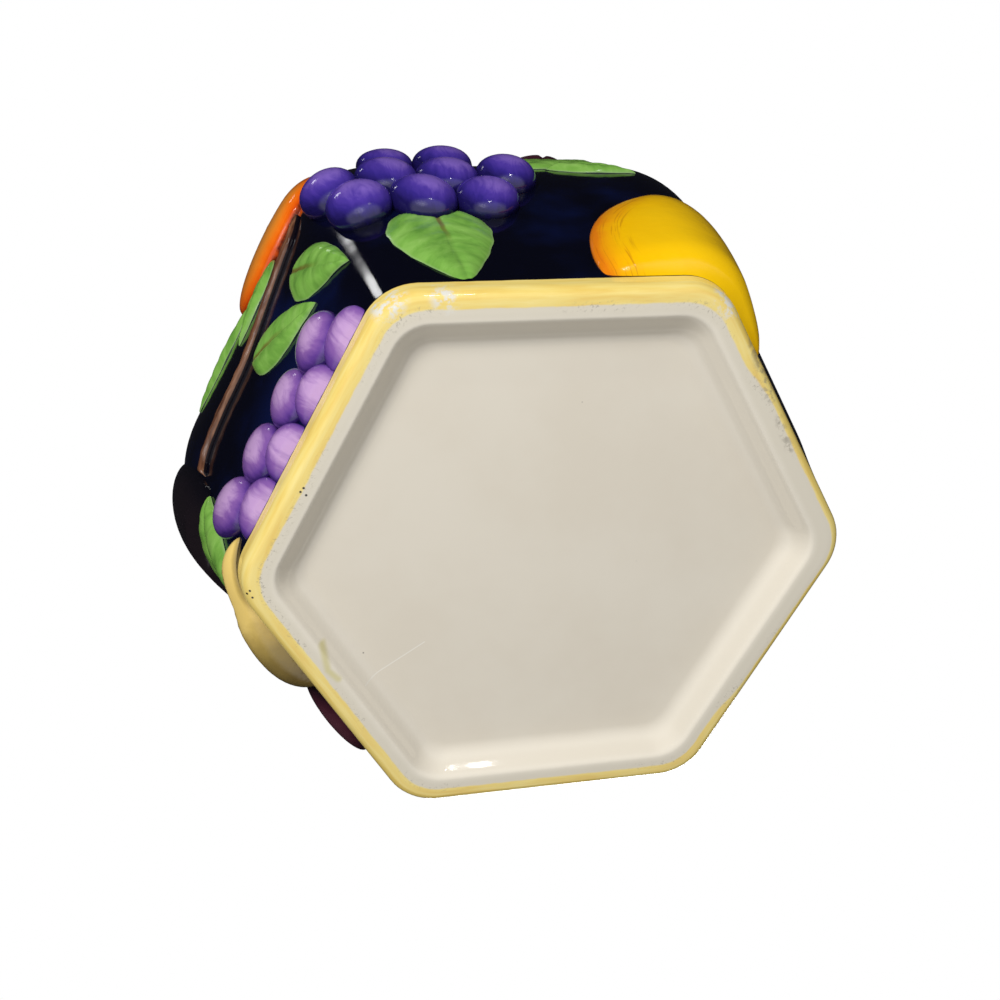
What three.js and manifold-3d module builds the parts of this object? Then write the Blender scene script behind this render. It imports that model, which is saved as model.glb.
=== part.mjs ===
// Hexagonal biscotti jar in glazed stoneware, with a lift-off lid and a fruit relief round the wall.
// Millimetres, +Z up. The origin is the middle of the plane that the foot stands on.
import * as THREE from 'three';
import { mergeVertices } from 'three/addons/utils/BufferGeometryUtils.js';
import Module from 'manifold-3d';

const wasm = await Module();
wasm.setup();

// Driving dimensions. An apothem is the distance from the axis to the middle of a flat.
const SIDES = 6;
const FOOT_APOTHEM = 59;
const FOOT_RING = 4;
const FOOT_CORNER = 11.5;
const CORNER_GROWTH = 0.55;
const CORNER_POWER = 3;
const RECESS_DEPTH = 5.6;
const RECESS_COVE = 7;
const WALL_FOOT = [61.6, 4];
const BAND_TOP = 7.5;
const FLOOR_TOP = 12;
const SHOULDER = [66.5, 181];
const RIM_TOP = 187;
const RIM_APOTHEM = 64;
const MOUTH_APOTHEM = 58.6;
const NECK_BOTTOM = 168;
const LID_APOTHEM = 68.5;
const LID_EDGE = 6.5;
const LID_CROWN = 214;
const PLUG_APOTHEM = 56;
const PLUG_WALL = 5.5;
const PLUG_DEPTH = 16;
const SEAL_HEIGHT = 5.4;
const SEAL_GROOVE = 2.4;
const KNOB_RADIUS = 16;
const KNOB_NECK = 9.5;
const KNOB_TOP = 240;
const GAP = 0.3;

// Relief: its thickness at the rim, the space round a piece that laps another, and the depth of a cut.
const RIM = 0.6;
const CUT_GAP = 0.9;
const CUT_HEIGHT = 18;
const CUT_DEPTH = 4.5;
const LEAF_RISE = 2.2;
const LID_LEAF_RISE = 1.8;
const VINE = { half: 1.4, rise: 1.5 };

// Facets of the lofted walls, and points round and rings across the relief.
const CORNER_STEPS = 6;
const WALL_STEPS = 11;
const UNDER_STEPS = 4;
const RIM_STEPS = 2;
const CAVITY_STEPS = 6;
const CROWN_STEPS = 4;
const KNOB_STEPS = 4;
const KNOB_SEGMENTS = 18;
const CHORD_SLACK = 1.2;
const VINE_CHORD = 9;
const LARGE = { points: 16, rings: 4 };
const MEDIUM = { points: 14, rings: 3 };
const SMALL = { points: 12, rings: 2 };
const GRAPE = { points: 8, rings: 2 };
const LEAF = { points: 6, rings: 2 };

const HALF_TURN = Math.PI / SIDES;
const FRONT = -Math.PI / 2;

const glaze = (color, roughness = 0.15) => new THREE.MeshStandardMaterial({ color, roughness, metalness: 0 });
const navyGlaze = glaze(0x0a1230);
const yellowGlaze = glaze(0xf0d070, 0.2);
const lemonGlaze = glaze(0xf7bf10);
const orangeGlaze = glaze(0xf27a10);
const pearGlaze = glaze(0xd8c078);
const plumGlaze = glaze(0x4a1f2c);
const grapeGlaze = glaze(0x7d5a9a);
const leafGlaze = glaze(0x6fa23c);
const vineGlaze = glaze(0x6b452f, 0.25);
const sealRubber = new THREE.MeshStandardMaterial({ color: 0xe6e4dc, roughness: 0.6, metalness: 0 });

const group = new THREE.Group();

function addMesh(name, geometry, material) {
  const mesh = new THREE.Mesh(geometry, material);
  mesh.name = name;
  group.add(mesh);
}

function closedGeometry(points, triangles) {
  const geometry = new THREE.BufferGeometry();
  geometry.setAttribute('position', new THREE.Float32BufferAttribute(points.flatMap((p) => p.toArray()), 3));
  geometry.setIndex(triangles);
  return geometry;
}

// The hexagon's corners grow rounder as it widens to the jar's belly, and are sharper inside the foot.
function cornerRadius(apothem) {
  if (apothem < FOOT_APOTHEM) return FOOT_CORNER * (apothem / FOOT_APOTHEM) ** CORNER_POWER;
  return FOOT_CORNER + CORNER_GROWTH * (apothem - FOOT_APOTHEM);
}

const flatHalf = (apothem) => (apothem - cornerRadius(apothem)) * Math.tan(HALF_TURN);
const sideHalf = (apothem) => flatHalf(apothem) + cornerRadius(apothem) * HALF_TURN;

// A point of one side of the rounded hexagon, at a distance along it from the side's middle.
function sidePoint(apothem, side, along) {
  const flat = flatHalf(apothem);
  const radius = cornerRadius(apothem);
  const past = Math.max(Math.abs(along) - flat, 0);
  const bend = radius > 0 ? (Math.sign(along) * past) / radius : 0;
  const across = THREE.MathUtils.clamp(along, -flat, flat) + radius * Math.sin(bend);
  const out = apothem - radius + radius * Math.cos(bend);
  const angle = FRONT + 2 * HALF_TURN * side;
  const place = new THREE.Vector3(out, across, 0).applyAxisAngle(new THREE.Vector3(0, 0, 1), angle);
  const normal = new THREE.Vector3(Math.cos(angle + bend), Math.sin(angle + bend), 0);
  return { place, normal };
}

// One ring of the loft: straight flats joined by round corners.
function hexRing(apothem, z) {
  const ring = [];
  for (let side = 0; side < SIDES; side += 1) {
    const flat = flatHalf(apothem);
    const arc = cornerRadius(apothem) * HALF_TURN;
    for (let step = 0; step <= CORNER_STEPS; step += 1) {
      const along = flat + (2 * arc * step) / CORNER_STEPS;
      const turned = along > flat + arc;
      const near = turned ? along - 2 * (flat + arc) : along;
      ring.push(sidePoint(apothem, turned ? side + 1 : side, near).place.setZ(z));
    }
  }
  return ring;
}

// A solid from a profile of (apothem, z) points, anticlockwise. It starts and ends on the axis, or closes.
function hexLoft(profile) {
  const points = [];
  const rings = profile.map((p) => {
    const first = points.length;
    const ring = p.x < 1e-6 ? [new THREE.Vector3(0, 0, p.y)] : hexRing(p.x, p.y);
    points.push(...ring);
    return { first, count: ring.length };
  });
  const onAxis = rings[0].count === 1;
  const triangles = [];
  const last = onAxis ? rings.length - 1 : rings.length;
  for (let i = 0; i < last; i += 1) {
    const low = rings[i];
    const high = rings[(i + 1) % rings.length];
    const count = Math.max(low.count, high.count);
    for (let j = 0; j < count; j += 1) {
      const k = (j + 1) % count;
      if (high.count > 1) triangles.push(low.first + (low.count > 1 ? j : 0), high.first + k, high.first + j);
      if (low.count > 1) triangles.push(low.first + j, low.first + k, high.first + (high.count > 1 ? k : 0));
    }
  }
  return closedGeometry(points, triangles);
}

const flatPoint = (x, y) => new THREE.Vector2(x, y);

function smoothCurve(pairs) {
  return new THREE.CatmullRomCurve3(pairs.map(([x, z]) => new THREE.Vector3(x, z, 0)), false, 'centripetal');
}

const curvePoints = (curve, steps) => curve.getSpacedPoints(steps).map((p) => flatPoint(p.x, p.y));

// The decorated outside of the jar, from the top of the foot's edge to the shoulder.
const wallCurve = smoothCurve([
  WALL_FOOT, [62.6, BAND_TOP], [69.2, 29.5], [78, 58], [81.2, 74],
  [82.2, 96], [81, 122], [77.2, 150], [71.5, 170], SHOULDER,
]);

// The crown of the lid, from its edge up to the knob.
const crownCurve = smoothCurve([
  [LID_APOTHEM - 2.5, RIM_TOP + LID_EDGE + 1], [58, 200], [44, 207], [28, 211.5], [14, LID_CROWN],
]);

function jarProfile() {
  const under = new THREE.Path();
  under.moveTo(0, RECESS_DEPTH);
  const inside = FOOT_APOTHEM - FOOT_RING;
  const panel = inside - RECESS_COVE;
  under.lineTo(panel, RECESS_DEPTH);
  under.bezierCurveTo(panel + 3.6, RECESS_DEPTH, inside - 2.6, 0, inside, 0);
  under.lineTo(FOOT_APOTHEM, 0);
  under.quadraticCurveTo(WALL_FOOT[0] - 0.4, 0.4, ...WALL_FOOT);
  const rim = new THREE.Path();
  rim.moveTo(...SHOULDER);
  rim.quadraticCurveTo(SHOULDER[0] - 0.9, RIM_TOP - 0.4, RIM_APOTHEM, RIM_TOP);
  rim.lineTo(MOUTH_APOTHEM + 1.4, RIM_TOP);
  rim.quadraticCurveTo(MOUTH_APOTHEM, RIM_TOP, MOUTH_APOTHEM, RIM_TOP - 1.4);
  rim.lineTo(MOUTH_APOTHEM, NECK_BOTTOM);
  const cavity = smoothCurve([
    [MOUTH_APOTHEM, NECK_BOTTOM], [68.5, 152], [74.8, 122], [76, 96], [74.8, 74], [71.6, 58],
    [62.8, 29.5], [57, 16.5], [50, FLOOR_TOP],
  ]);
  return [
    ...under.getPoints(UNDER_STEPS),
    ...curvePoints(wallCurve, WALL_STEPS).slice(1),
    ...rim.getPoints(RIM_STEPS).slice(1),
    ...curvePoints(cavity, CAVITY_STEPS).slice(1),
    flatPoint(0, FLOOR_TOP),
  ];
}

function lidProfile() {
  const bottom = RIM_TOP + GAP;
  const inner = PLUG_APOTHEM - PLUG_WALL;
  const sealMiddle = bottom - PLUG_DEPTH / 2;
  const grooveLow = sealMiddle - SEAL_HEIGHT / 2;
  const grooveHigh = sealMiddle + SEAL_HEIGHT / 2;
  const edge = new THREE.Path();
  edge.moveTo(LID_APOTHEM - 2, bottom);
  edge.quadraticCurveTo(LID_APOTHEM, bottom, LID_APOTHEM, bottom + LID_EDGE / 2);
  edge.quadraticCurveTo(LID_APOTHEM, bottom + LID_EDGE, LID_APOTHEM - 2.5, RIM_TOP + LID_EDGE + 1);
  return [
    flatPoint(0, LID_CROWN - 7),
    ...curvePoints(smoothCurve([[24, 205.4], [38, 202], [46, 197], [inner, bottom]]), 2),
    flatPoint(inner, bottom - PLUG_DEPTH + 1.5),
    flatPoint(inner + 1.5, bottom - PLUG_DEPTH),
    flatPoint(PLUG_APOTHEM - 1.5, bottom - PLUG_DEPTH),
    flatPoint(PLUG_APOTHEM, bottom - PLUG_DEPTH + 1.5),
    flatPoint(PLUG_APOTHEM, grooveLow),
    flatPoint(PLUG_APOTHEM - SEAL_GROOVE, grooveLow),
    flatPoint(PLUG_APOTHEM - SEAL_GROOVE, grooveHigh),
    flatPoint(PLUG_APOTHEM, grooveHigh),
    flatPoint(PLUG_APOTHEM, bottom),
    ...edge.getPoints(RIM_STEPS),
    ...curvePoints(crownCurve, CROWN_STEPS).slice(1),
    flatPoint(0, LID_CROWN),
  ];
}

// A ring with two lips that wipe the mouth of the jar.
function sealProfile() {
  const middle = RIM_TOP + GAP - PLUG_DEPTH / 2;
  const half = SEAL_HEIGHT / 2 - GAP;
  const back = PLUG_APOTHEM - SEAL_GROOVE + GAP;
  const face = PLUG_APOTHEM + 0.4;
  const lip = MOUTH_APOTHEM - GAP;
  return [
    flatPoint(back, middle - half),
    flatPoint(face, middle - half),
    flatPoint(lip, middle - half + 0.9),
    flatPoint(face, middle - 0.2),
    flatPoint(lip, middle + half - 1.3),
    flatPoint(face, middle + half),
    flatPoint(back, middle + half),
  ];
}

function knobGeometry() {
  const foot = LID_CROWN + GAP;
  const waist = foot + 5;
  const profile = new THREE.Path();
  profile.moveTo(0, foot);
  profile.lineTo(KNOB_NECK + 2.2, foot);
  profile.quadraticCurveTo(KNOB_NECK, foot + 1.5, KNOB_NECK, waist);
  profile.bezierCurveTo(KNOB_NECK + 3, waist + 2, KNOB_RADIUS, waist + 4, KNOB_RADIUS, waist + 10);
  profile.bezierCurveTo(KNOB_RADIUS, KNOB_TOP - 3, KNOB_RADIUS / 2, KNOB_TOP, 0, KNOB_TOP);
  const lathe = new THREE.LatheGeometry(profile.getPoints(KNOB_STEPS), KNOB_SEGMENTS);
  lathe.rotateX(Math.PI / 2);
  return weld(lathe);
}

// Joins the seam and the poles of a turned solid, and drops the triangles that vanish there.
function weld(geometry) {
  geometry.deleteAttribute('normal');
  geometry.deleteAttribute('uv');
  const merged = mergeVertices(geometry, 1e-3);
  const corners = [...merged.getIndex().array];
  const kept = [];
  for (let i = 0; i < corners.length; i += 3) {
    const triangle = corners.slice(i, i + 3);
    if (new Set(triangle).size === 3) kept.push(...triangle);
  }
  merged.setIndex(kept);
  return merged;
}

// A decorated skin: turn counts sides from the front, run is the distance up the curve.
class Skin {
  constructor(curve) {
    this.curve = curve;
    this.length = curve.getLength();
  }

  runAt(z) {
    let low = 0;
    let high = this.length;
    for (let i = 0; i < 40; i += 1) {
      const middle = (low + high) / 2;
      if (this.curve.getPointAt(middle / this.length).y < z) low = middle;
      else high = middle;
    }
    return low;
  }

  width(run) {
    return 2 * sideHalf(this.curve.getPointAt(this.share(run)).x);
  }

  share(run) {
    return THREE.MathUtils.clamp(run / this.length, 0, 1);
  }

  // A facet spans a round corner as a chord, so there it stands off by the height of the arc over it.
  point(turn, run, lift, chord) {
    const at = this.curve.getPointAt(this.share(run));
    const slope = this.curve.getTangentAt(this.share(run));
    const side = Math.round(turn);
    const along = (turn - side) * 2 * sideHalf(at.x);
    const reach = flatHalf(at.x) - chord;
    const stand = Math.abs(along) > reach ? (chord * chord) / (8 * cornerRadius(at.x)) : 0;
    const { place, normal } = sidePoint(at.x, side, along);
    const out = normal.multiplyScalar(slope.y).setZ(-slope.x);
    return place.setZ(at.y).addScaledVector(out, GAP + stand + lift);
  }
}

const wall = new Skin(wallCurve);
const crown = new Skin(crownCurve);

// Maps a piece's own flat (x, y) to the skin: a place, a spin in degrees, and a size in millimetres.
function draped(skin, place) {
  const start = skin.runAt(place.z);
  const spin = THREE.MathUtils.degToRad(place.spin ?? 0);
  return (x, y, lift, chord) => {
    const across = x * Math.cos(spin) - y * Math.sin(spin);
    const up = x * Math.sin(spin) + y * Math.cos(spin);
    const run = start + up;
    return skin.point(place.turn + across / skin.width(run), run, lift, chord);
  };
}

// A low solid on the skin over a flat outline. Its thickness is rise(share, p), with share 0 in the middle
// and 1 at the rim.
function mound(map, outline, rise, rings, chord, base = 0, underRings = rings) {
  const points = [];
  const triangles = [];
  const count = outline.length;
  const layer = (under) => {
    const first = points.length;
    const depth = under ? underRings : rings;
    for (let ring = 0; ring < depth; ring += 1) {
      const share = 1 - ring / depth;
      outline.forEach((p) => {
        points.push(map(p.x * share, p.y * share, under ? base : rise(share, p), chord));
      });
    }
    points.push(map(0, 0, under ? base : rise(0, flatPoint(0, 0)), chord));
    const middle = first + depth * count;
    for (let ring = 0; ring < depth; ring += 1) {
      for (let j = 0; j < count; j += 1) {
        const a = first + ring * count + j;
        const b = first + ring * count + ((j + 1) % count);
        const quad = [[a, b, b + count], [a, b + count, a + count]];
        const faces = ring === depth - 1 ? [[a, b, middle]] : quad;
        faces.forEach(([p, q, r]) => triangles.push(...(under ? [p, r, q] : [p, q, r])));
      }
    }
    return first;
  };
  const top = layer(false);
  const bottom = layer(true);
  for (let j = 0; j < count; j += 1) {
    const k = (j + 1) % count;
    triangles.push(bottom + j, bottom + k, top + k, bottom + j, top + k, top + j);
  }
  return closedGeometry(points, triangles);
}

function solidOf(geometry) {
  const vertProperties = geometry.getAttribute('position').array;
  const triVerts = Uint32Array.from(geometry.getIndex().array);
  return new wasm.Manifold(new wasm.Mesh({ numProp: 3, vertProperties, triVerts }));
}

function geometryOf(solid) {
  const mesh = solid.getMesh();
  const geometry = new THREE.BufferGeometry();
  geometry.setAttribute('position', new THREE.Float32BufferAttribute(mesh.vertProperties, 3));
  geometry.setIndex([...mesh.triVerts]);
  return geometry;
}

// An egg outline: half width, half height, and how much the lower end is wider than the upper.
function eggOutline(size, points) {
  const { half, height, swell = 0, square = 1 } = size;
  const outline = [];
  for (let i = 0; i < points; i += 1) {
    const angle = (2 * Math.PI * i) / points;
    const x = Math.sign(Math.cos(angle)) * Math.abs(Math.cos(angle)) ** square;
    const y = Math.sign(Math.sin(angle)) * Math.abs(Math.sin(angle)) ** square;
    outline.push(flatPoint(half * x * (1 - swell * y), height * y));
  }
  return outline;
}

// A leaf outline from its tip at the top to its stalk at the bottom and back.
function leafOutline(length, breadth) {
  const outline = new THREE.Path();
  outline.moveTo(0, length / 2);
  outline.bezierCurveTo(-breadth * 0.35, length * 0.2, -breadth * 0.85, -length * 0.3, 0, -length / 2);
  outline.bezierCurveTo(breadth * 0.85, -length * 0.3, breadth * 0.35, length * 0.2, 0, length / 2);
  return outline.getPoints(LEAF.points).slice(0, -1);
}

const grown = (outline, by) => outline.map((p) => p.clone().setLength(p.length() + by));

// A fruit is a dome, lower towards the narrow end of a pear.
function fruitRise({ rise, height, swell = 0 }) {
  return (share, p) => {
    const slim = (1 - (swell * p.y * share) / height) / (1 + swell / 2);
    return RIM + rise * slim * Math.sqrt(Math.max(1 - share * share, 0));
  };
}

// A leaf swells to each side of its rib and dips along it.
function leafRise(height, breadth) {
  return (share, p) => {
    const beside = Math.min(Math.abs(p.x * share) / (breadth * 0.3), 1);
    return RIM + height * (1 - share ** 3) * (0.55 + 0.45 * beside);
  };
}

// The column over an outline, which the pieces laid later are cut back from.
function columnOver(map, outline, rings, chord) {
  return solidOf(mound(map, grown(outline, CUT_GAP), () => CUT_HEIGHT, rings, chord, -CUT_DEPTH));
}

// The plain band round the foot carries no relief.
const bandBlock = new THREE.BoxGeometry(4 * LID_APOTHEM, 4 * LID_APOTHEM, 2 * BAND_TOP);
bandBlock.translate(0, 0, GAP);
const laid = [solidOf(weld(bandBlock))];

// Relief in order of precedence: a piece is cut back from the pieces before it where they lap.
function layRelief(name, material, body, column) {
  const cut = laid.reduce((solid, other) => solid.subtract(other), body);
  const whole = cut.decompose().sort((a, b) => b.volume() - a.volume())[0];
  if (column) laid.push(column);
  addMesh(name, geometryOf(whole), material);
}

function layFruit(name, material, skin, place, size, facets) {
  const map = draped(skin, place);
  const outline = eggOutline(size, facets.points);
  const spacing = Math.max((2 * Math.PI) / facets.points, 1 / facets.rings);
  const chord = CHORD_SLACK * Math.max(size.half, size.height) * spacing;
  const body = solidOf(mound(map, outline, fruitRise(size), facets.rings, chord));
  layRelief(name, material, body, columnOver(map, outline, facets.rings, chord));
}

function layLeaf(name, skin, place, length, breadth, rise = LEAF_RISE) {
  const map = draped(skin, place);
  const outline = leafOutline(length, breadth);
  const chord = length / (LEAF.points - 1);
  const body = solidOf(mound(map, outline, leafRise(rise, breadth), LEAF.rings, chord));
  layRelief(name, leafGlaze, body, columnOver(map, outline, LEAF.rings, chord));
}

// A bunch is rows of plump grapes that run into each other. A row has a height and its grapes' offsets.
function layGrapes(name, skin, turn, size, rows) {
  const bodies = [];
  const columns = [];
  rows.forEach(([z, offsets]) => offsets.forEach((offset) => {
    const map = draped(skin, { turn: turn + offset / skin.width(skin.runAt(z)), z });
    const outline = eggOutline(size, GRAPE.points);
    bodies.push(solidOf(mound(map, outline, fruitRise(size), GRAPE.rings, size.height, 0, 1)));
    columns.push(columnOver(map, outline, 1, size.height));
  }));
  const join = (solids) => solids.reduce((sum, grape) => sum.add(grape));
  layRelief(name, grapeGlaze, join(bodies), join(columns));
}

// A stem runs along the skin through (turn, z) points, round in section and flat against the wall.
function layVine(name, skin, steps, stops) {
  const span = skin.width(skin.runAt(stops[0][1]));
  const route = new THREE.SplineCurve(stops.map(([turn, z]) => flatPoint(turn * span, skin.runAt(z))));
  const section = [[-1, 0], [1, 0], [0.75, 0.75], [0, 1], [-0.75, 0.75]];
  const points = [];
  const triangles = [];
  for (let step = 0; step <= steps; step += 1) {
    const at = route.getPointAt(step / steps);
    const ahead = route.getTangentAt(step / steps);
    section.forEach(([side, height]) => {
      const turn = at.x / span - (side * VINE.half * ahead.y) / skin.width(at.y);
      const run = at.y + side * VINE.half * ahead.x;
      points.push(skin.point(turn, run, (RIM + VINE.rise) * height, VINE_CHORD));
    });
  }
  const count = section.length;
  for (let step = 0; step < steps; step += 1) {
    for (let j = 0; j < count; j += 1) {
      const a = step * count + j;
      const b = step * count + ((j + 1) % count);
      triangles.push(a, b, b + count, a, b + count, a + count);
    }
  }
  const end = steps * count;
  for (let j = 1; j < count - 1; j += 1) triangles.push(0, j + 1, j, end, end + j, end + j + 1);
  layRelief(name, vineGlaze, solidOf(closedGeometry(points, triangles)));
}

addMesh('jar_body', hexLoft(jarProfile()), navyGlaze);
addMesh('lid', hexLoft(lidProfile()), navyGlaze);
addMesh('lid_seal', hexLoft(sealProfile()), sealRubber);
addMesh('lid_knob', knobGeometry(), yellowGlaze);

// This leaf and this bunch lie over the neck of the pear beside them. A bunch has rows from the lowest up,
// each with its grapes' offsets along the wall.
const FULL_GRAPE = { half: 7.8, height: 9.6, rise: 5 };
const SLIM_GRAPE = { half: 7.2, height: 8.6, rise: 3 };
layLeaf('leaf_left_corner', wall, { turn: -1.52, z: 24, spin: -50 }, 28, 22);
layGrapes('grapes_left', wall, -1, SLIM_GRAPE, [
  [6, [22, 9, -5, -19]], [18, [17, 3.2, -10.8, -25]],
]);

// Fruit on the wall: turn counts sides from the front, towards the right, and z is the height of its middle.
// Then come its half width, half height and rise.
const FRUIT = [
  ['lemon_front', lemonGlaze, 0.48, 20, 25, 31, 4.4, LARGE, { square: 0.9 }],
  ['orange_left', orangeGlaze, -0.76, 104, 23, 22, 4.6, MEDIUM],
  ['pear_left', pearGlaze, -1.73, 12, 11, 25, 6, MEDIUM, { spin: -95, swell: 0.4 }],
  ['plum_left', plumGlaze, -2.19, 14, 10, 10.5, 3, SMALL],
  ['plum_corner', plumGlaze, -1.65, 56, 16, 26, 4.4, SMALL],
  ['lemon_left', lemonGlaze, -1.86, 96, 20, 26, 7.5, MEDIUM, { spin: 15 }],
  ['orange_back', orangeGlaze, 3.2, 46, 20, 20, 7, MEDIUM],
  ['pear_back', pearGlaze, 2.6, 54, 17, 29, 8, LARGE, { spin: 8, swell: 0.28 }],
  ['lemon_right', lemonGlaze, 2.02, 104, 20, 25, 7.5, MEDIUM, { spin: -12 }],
  ['plum_right', plumGlaze, 2.24, 38, 11, 12.5, 5.5, SMALL],
  ['orange_right', orangeGlaze, 0.98, 110, 19, 19, 7, MEDIUM],
];
FRUIT.forEach(([name, material, turn, z, half, height, rise, facets, { spin, ...form } = {}]) => {
  layFruit(name, material, wall, { turn, z, spin }, { half, height, rise, ...form }, facets);
});

// The other bunches.
layGrapes('grapes_front', wall, 0, FULL_GRAPE, [
  [47, [-38, -23, -7.5]], [62, [-45, -30.5, -15.5, -0.5]], [77, [-30, -15]],
]);
layGrapes('grapes_back', wall, 3, FULL_GRAPE, [
  [72, [-6, 8.5]], [87, [-13, 1.5, 16]], [102, [-6, 8.5]],
]);
layGrapes('grapes_right', wall, 2, SLIM_GRAPE, [
  [36, [-22, -9]], [48.5, [-28.5, -15.5, -2.5]], [61, [-22, -9]],
]);

// Leaves: name, turn, z, spin of the tip anticlockwise from straight up, length and breadth.
const LEAVES = [
  ['leaf_front_low', -0.255, 25, 181, 43, 25.5],
  ['leaf_front_corner', -0.645, 38, 209, 31, 15.5],
  ['leaf_left_low', -0.865, 41, 231, 31, 15.5],
  ['leaf_left_stem', -0.9, 75, 118, 26, 11],
  ['leaf_left_high', -1.13, 88, 96, 34, 13],
  ['leaf_front_high', 0.2, 92, -50, 38, 20],
  ['leaf_front_side', 0.26, 78, -120, 30, 15],
  ['leaf_left_back', -2.1, 54, 60, 36, 18],
  ['leaf_back_left', -2.42, 86, 150, 34, 17],
  ['leaf_back_low', 2.87, 32, 184, 34, 20],
  ['leaf_back_side', 2.62, 98, 40, 34, 16],
  ['leaf_right_back', 2.26, 62, -40, 32, 16],
  ['leaf_right_corner', 1.7, 84, 30, 36, 17],
  ['leaf_right_low', 0.64, 98, 70, 34, 17],
  ['leaf_right_high', 1.38, 114, -35, 34, 16],
];
LEAVES.forEach(([name, turn, z, spin, length, breadth]) => {
  layLeaf(name, wall, { turn, z, spin }, length, breadth);
});

// A wreath of leaves and plums under the shoulder, one of each on every side.
const SHOULDER_PLUM = { half: 9.5, height: 10.5, rise: 5 };
for (let side = 0; side < SIDES; side += 1) {
  layFruit(`plum_shoulder_${side}`, plumGlaze, wall, { turn: side + 0.27, z: 143 }, SHOULDER_PLUM, SMALL);
  layLeaf(`leaf_shoulder_${side}`, wall, { turn: side - 0.1, z: 141, spin: 80 }, 40, 19);
}

// Brown stems behind the fruit.
layVine('vine_left', wall, 15, [
  [-0.62, 76], [-0.67, 69], [-0.85, 61], [-1.01, 55], [-1.2, 53.5], [-1.32, 51], [-1.39, 45.5], [-1.45, 38.5],
]);
layVine('vine_back', wall, 10, [[-1.72, 58], [-1.95, 66], [-2.2, 62], [-2.45, 64]]);
layVine('vine_right', wall, 10, [[0.72, 90], [0.95, 88], [1.2, 94], [1.42, 102]]);
layVine('vine_side', wall, 10, [[1.74, 70], [1.9, 75], [2.1, 76], [2.34, 80]]);

// The lid repeats the fruit in small round its knob.
const LID_FRUIT = { half: 11.5, height: 11.5, rise: 5 };
const LID_KINDS = [['lid_lemon', lemonGlaze], ['lid_orange', orangeGlaze], ['lid_plum', plumGlaze]];
LID_KINDS.forEach(([name, material], i) => {
  layFruit(name, material, crown, { turn: 2 * i, z: 206 }, LID_FRUIT, SMALL);
  [['a', 1], ['b', -1]].forEach(([mark, sign]) => {
    const place = { turn: 2 * i + 0.72 * sign, z: 205.6, spin: -105 * sign };
    layLeaf(`lid_leaf_${i}_${mark}`, crown, place, 28, 14, LID_LEAF_RISE);
  });
});

export default group;
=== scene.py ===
"""Looks of a hexagonal biscotti jar in painted stoneware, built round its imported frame.

Sizes here are millimetres; each mesh is turned into metres as it is made.
"""

import math

import bpy
import numpy as np
from mathutils import Matrix, Vector


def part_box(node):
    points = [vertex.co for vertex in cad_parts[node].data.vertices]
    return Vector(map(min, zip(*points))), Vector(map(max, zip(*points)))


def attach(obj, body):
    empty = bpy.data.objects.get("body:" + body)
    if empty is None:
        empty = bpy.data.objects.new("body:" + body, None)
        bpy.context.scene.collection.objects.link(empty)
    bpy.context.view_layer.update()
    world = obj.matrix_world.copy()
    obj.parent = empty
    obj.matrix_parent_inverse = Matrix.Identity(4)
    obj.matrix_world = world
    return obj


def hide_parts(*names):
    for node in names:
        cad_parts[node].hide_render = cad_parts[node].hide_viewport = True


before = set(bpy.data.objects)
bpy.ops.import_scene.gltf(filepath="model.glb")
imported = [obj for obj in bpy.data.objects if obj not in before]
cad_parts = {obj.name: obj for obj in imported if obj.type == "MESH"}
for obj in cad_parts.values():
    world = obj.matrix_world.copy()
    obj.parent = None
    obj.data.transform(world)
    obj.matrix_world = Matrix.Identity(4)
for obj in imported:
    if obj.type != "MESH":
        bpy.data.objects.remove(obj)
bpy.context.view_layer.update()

MM = 0.001
TINY = 1e-6

# The rounded hexagon. An apothem is the distance from the axis to the middle of a flat.
SIDES = 6
HALF_TURN = math.pi / SIDES
FRONT = -math.pi / 2
FOOT_APOTHEM = 59.0
FOOT_CORNER = 11.5
CORNER_GROWTH = 0.55
CORNER_POWER = 3

# The jar's profile.
RECESS_DEPTH = 5.6
PANEL_APOTHEM = 48.0
RING_APOTHEM = 55.0
BAND_TOP = 5.5
BAND_ON_RING = 1.7
FLOOR_TOP = 12.0
RIM_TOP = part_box("jar_body")[1].z / MM
RIM_APOTHEM = 64.0
MOUTH_APOTHEM = 58.6
LIP_DROP = 1.4
NECK_BOTTOM = 168.0
WALL_STOPS = [
    (61.6, 4), (62.6, 7.5), (69.2, 29.5), (78, 58), (81.2, 74),
    (82.2, 96), (81, 122), (77.2, 150), (71.5, 170), (66.5, 181),
]
CAVITY_STOPS = [
    (MOUTH_APOTHEM, NECK_BOTTOM), (68.5, 152), (74.8, 122), (76, 96), (74.8, 74), (71.6, 58),
    (62.8, 29.5), (57, 16.5), (50, FLOOR_TOP),
]

# The lid, its seal and its knob.
LID_BOTTOM = RIM_TOP + 0.3
LID_APOTHEM = 68.5
LID_EDGE = 6.5
LID_EDGE_TOP = 194.5
LID_CROWN = 214.0
PLUG_APOTHEM = 56.0
PLUG_INSIDE = 50.5
PLUG_EASE = 1.5
PLUG_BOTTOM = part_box("lid")[0].z / MM
CROWN_STOPS = [(66, LID_EDGE_TOP), (58, 200), (44, 207), (28, 211.5), (14, LID_CROWN)]
SEAL_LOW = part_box("lid_seal")[0].z / MM
SEAL_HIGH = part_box("lid_seal")[1].z / MM
SEAL_GAP = 0.3
SEAL_EASE = 0.35
GROOVE_APOTHEM = 53.6
KNOB_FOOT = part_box("lid_knob")[0].z / MM
KNOB_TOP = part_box("lid_knob")[1].z / MM
KNOB_RADIUS = 16.0
KNOB_NECK = 9.5

# Relief: how far a rim is sunk in the wall, how far a piece keeps from one that lies over it, and how far
# above the band round the foot it starts to round off.
SINK = 1.0
TUCK = 1.3
BAND_TUCK = 2.0
ROUND_OFF = 8.0

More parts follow.
